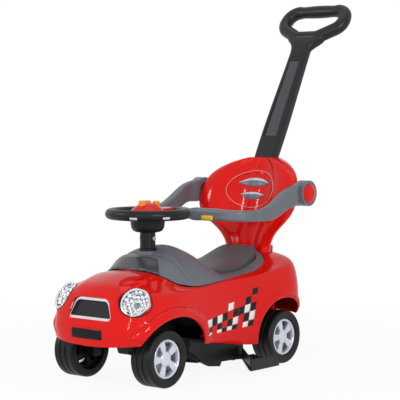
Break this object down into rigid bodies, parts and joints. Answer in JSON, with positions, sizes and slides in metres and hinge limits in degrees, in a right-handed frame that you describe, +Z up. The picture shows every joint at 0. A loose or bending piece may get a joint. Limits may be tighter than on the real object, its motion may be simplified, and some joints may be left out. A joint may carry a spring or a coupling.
{
  "type": "ride-on push car",
  "caption": "Toddler ride-on push car with steering wheel, lift-up seat over a storage tub, swing-up guard bar, backrest, pull-out footrests and a tall push handle.",
  "frame": {"origin": "on the ground under the centre of the overall bounding box", "axes": "+X forwards (towards the headlights), +Y to the car's left, +Z up"},
  "size_m": [0.8918, 0.384, 0.8714],
  "materials": {
    "red_gloss": "glossy moulded red",
    "grey_satin": "satin moulded grey",
    "seat_grey": "grained matt grey",
    "black_plastic": "satin black",
    "charcoal_plastic": "satin charcoal",
    "tyre_black": "hard plastic tyre",
    "hub_silver": "silver paint",
    "chrome": "plated",
    "clear_lens": "clear, cut pattern",
    "steel": "zinc plated",
    "amber_plastic": "glossy amber",
    "yellow_plastic": "glossy yellow",
    "board_green": "solder mask"
  },
  "bodies": {
    "car_body": {"body_shell": "red_gloss", "chassis_pan": "black_plastic", "chassis_screws": "steel", "cockpit_trim": "grey_satin", "grille_frame": "chrome", "grille_mesh": "black_plastic", "headlight_reflector_left": "chrome", "headlight_reflector_right": "chrome", "headlight_lens_left": "clear_lens", "headlight_lens_right": "clear_lens", "storage_tub": "black_plastic", "seat_hinge_pin": "steel", "rear_axle": "steel", "rear_axle_caps": "steel", "steering_bush": "black_plastic", "backrest": "red_gloss", "backrest_vents": "grey_satin", "push_handle": "charcoal_plastic", "handle_screws": "steel", "guard_pivot_left": "red_gloss", "guard_pivot_right": "red_gloss"},
    "steering": {"steering_wheel": "black_plastic", "steering_cover": "red_gloss", "steering_sleeve": "black_plastic", "steering_rod": "steel", "steering_bolt": "steel", "horn_speaker": "black_plastic", "horn_board": "board_green", "horn_batteries": "steel"},
    "horn_button": {"horn_button": "amber_plastic"},
    "sound_button_left": {"sound_button_left": "amber_plastic"},
    "sound_button_right": {"sound_button_right": "amber_plastic"},
    "tie_plate": {"tie_plate": "steel"},
    "seat_lid": {"seat_lid": "seat_grey"},
    "guard_latch": {"guard_latch": "yellow_plastic"},
    "knuckle_left": {"knuckle_left": "black_plastic", "front_axle_left": "steel", "front_axle_cap_left": "steel"},
    "guard_arm_left": {"guard_arm_left": "grey_satin"},
    "guard_button_left": {"guard_button_left": "red_gloss"},
    "footrest_left": {"footrest_left": "black_plastic"},
    "wheel_front_left": {"wheel_front_left": "tyre_black", "hub_cap_front_left": "hub_silver"},
    "wheel_rear_left": {"wheel_rear_left": "tyre_black", "hub_cap_rear_left": "hub_silver"},
    "knuckle_right": {"knuckle_right": "black_plastic", "front_axle_right": "steel", "front_axle_cap_right": "steel"},
    "guard_arm_right": {"guard_arm_right": "grey_satin"},
    "guard_button_right": {"guard_button_right": "red_gloss"},
    "footrest_right": {"footrest_right": "black_plastic"},
    "wheel_front_right": {"wheel_front_right": "tyre_black", "hub_cap_front_right": "hub_silver"},
    "wheel_rear_right": {"wheel_rear_right": "tyre_black", "hub_cap_rear_right": "hub_silver"}
  },
  "joints": [
    {"name": "steer", "type": "hinge", "parent": "car_body", "child": "steering", "pos_m": [0.2444, 0, 0.063], "axis": [0, 0, 1], "range_deg": [-15, 15]},
    {"name": "knuckle_left_turn", "type": "hinge", "parent": "car_body", "child": "knuckle_left", "pos_m": [0.3394, 0.078, 0.063], "axis": [0, 0, 1], "range_deg": [-15.2, 15.2]},
    {"name": "knuckle_right_turn", "type": "hinge", "parent": "car_body", "child": "knuckle_right", "pos_m": [0.3394, -0.078, 0.063], "axis": [0, 0, 1], "range_deg": [-15.2, 15.2]},
    {"name": "tie_plate_swing", "type": "hinge", "parent": "knuckle_left", "child": "tie_plate", "pos_m": [0.2944, 0.078, 0.077], "axis": [0, 0, 1], "range_deg": [-15.2, 15.2]},
    {"name": "wheel_front_left_spin", "type": "hinge", "parent": "knuckle_left", "child": "wheel_front_left", "pos_m": [0.3394, 0.115, 0.063], "axis": [0, 1, 0], "continuous": true},
    {"name": "wheel_rear_left_spin", "type": "hinge", "parent": "car_body", "child": "wheel_rear_left", "pos_m": [-0.0866, 0.115, 0.063], "axis": [0, 1, 0], "continuous": true},
    {"name": "wheel_front_right_spin", "type": "hinge", "parent": "knuckle_right", "child": "wheel_front_right", "pos_m": [0.3394, -0.115, 0.063], "axis": [0, 1, 0], "continuous": true},
    {"name": "wheel_rear_right_spin", "type": "hinge", "parent": "car_body", "child": "wheel_rear_right", "pos_m": [-0.0866, -0.115, 0.063], "axis": [0, 1, 0], "continuous": true},
    {"name": "seat_lift", "type": "hinge", "parent": "car_body", "child": "seat_lid", "pos_m": [-0.0906, 0, 0.266], "axis": [0, -1, 0], "range_deg": [0, 65]},
    {"name": "guard_left_swing", "type": "hinge", "parent": "car_body", "child": "guard_arm_left", "pos_m": [-0.1416, 0.158, 0.403], "axis": [0, -1, 0], "range_deg": [0, 95]},
    {"name": "guard_button_left_press", "type": "slide", "parent": "guard_arm_left", "child": "guard_button_left", "axis": [0, -1, 0], "range_m": [0, 0.003], "stiffness_N_per_m": 500},
    {"name": "footrest_left_pull", "type": "slide", "parent": "car_body", "child": "footrest_left", "axis": [0, 1, 0], "range_m": [0, 0.06]},
    {"name": "guard_right_swing", "type": "hinge", "parent": "car_body", "child": "guard_arm_right", "pos_m": [-0.1416, -0.158, 0.403], "axis": [0, -1, 0], "range_deg": [0, 95]},
    {"name": "guard_button_right_press", "type": "slide", "parent": "guard_arm_right", "child": "guard_button_right", "axis": [0, 1, 0], "range_m": [0, 0.003], "stiffness_N_per_m": 500},
    {"name": "footrest_right_pull", "type": "slide", "parent": "car_body", "child": "footrest_right", "axis": [0, -1, 0], "range_m": [0, 0.06]},
    {"name": "guard_latch_press", "type": "slide", "parent": "guard_arm_left", "child": "guard_latch", "axis": [-1, 0, 0], "range_m": [0, 0.003], "stiffness_N_per_m": 400},
    {"name": "horn_button_press", "type": "slide", "parent": "steering", "child": "horn_button", "axis": [0, 0, -1], "range_m": [0, 0.0025], "stiffness_N_per_m": 400},
    {"name": "sound_button_left_press", "type": "slide", "parent": "steering", "child": "sound_button_left", "axis": [0, 0, -1], "range_m": [0, 0.0025], "stiffness_N_per_m": 400},
    {"name": "sound_button_right_press", "type": "slide", "parent": "steering", "child": "sound_button_right", "axis": [0, 0, -1], "range_m": [0, 0.0025], "stiffness_N_per_m": 400}
  ],
  "couplings": [
    {"joint": "knuckle_left_turn", "follows": "steer", "ratio": 1},
    {"joint": "knuckle_right_turn", "follows": "steer", "ratio": 1},
    {"joint": "tie_plate_swing", "follows": "steer", "ratio": -1}
  ]
}
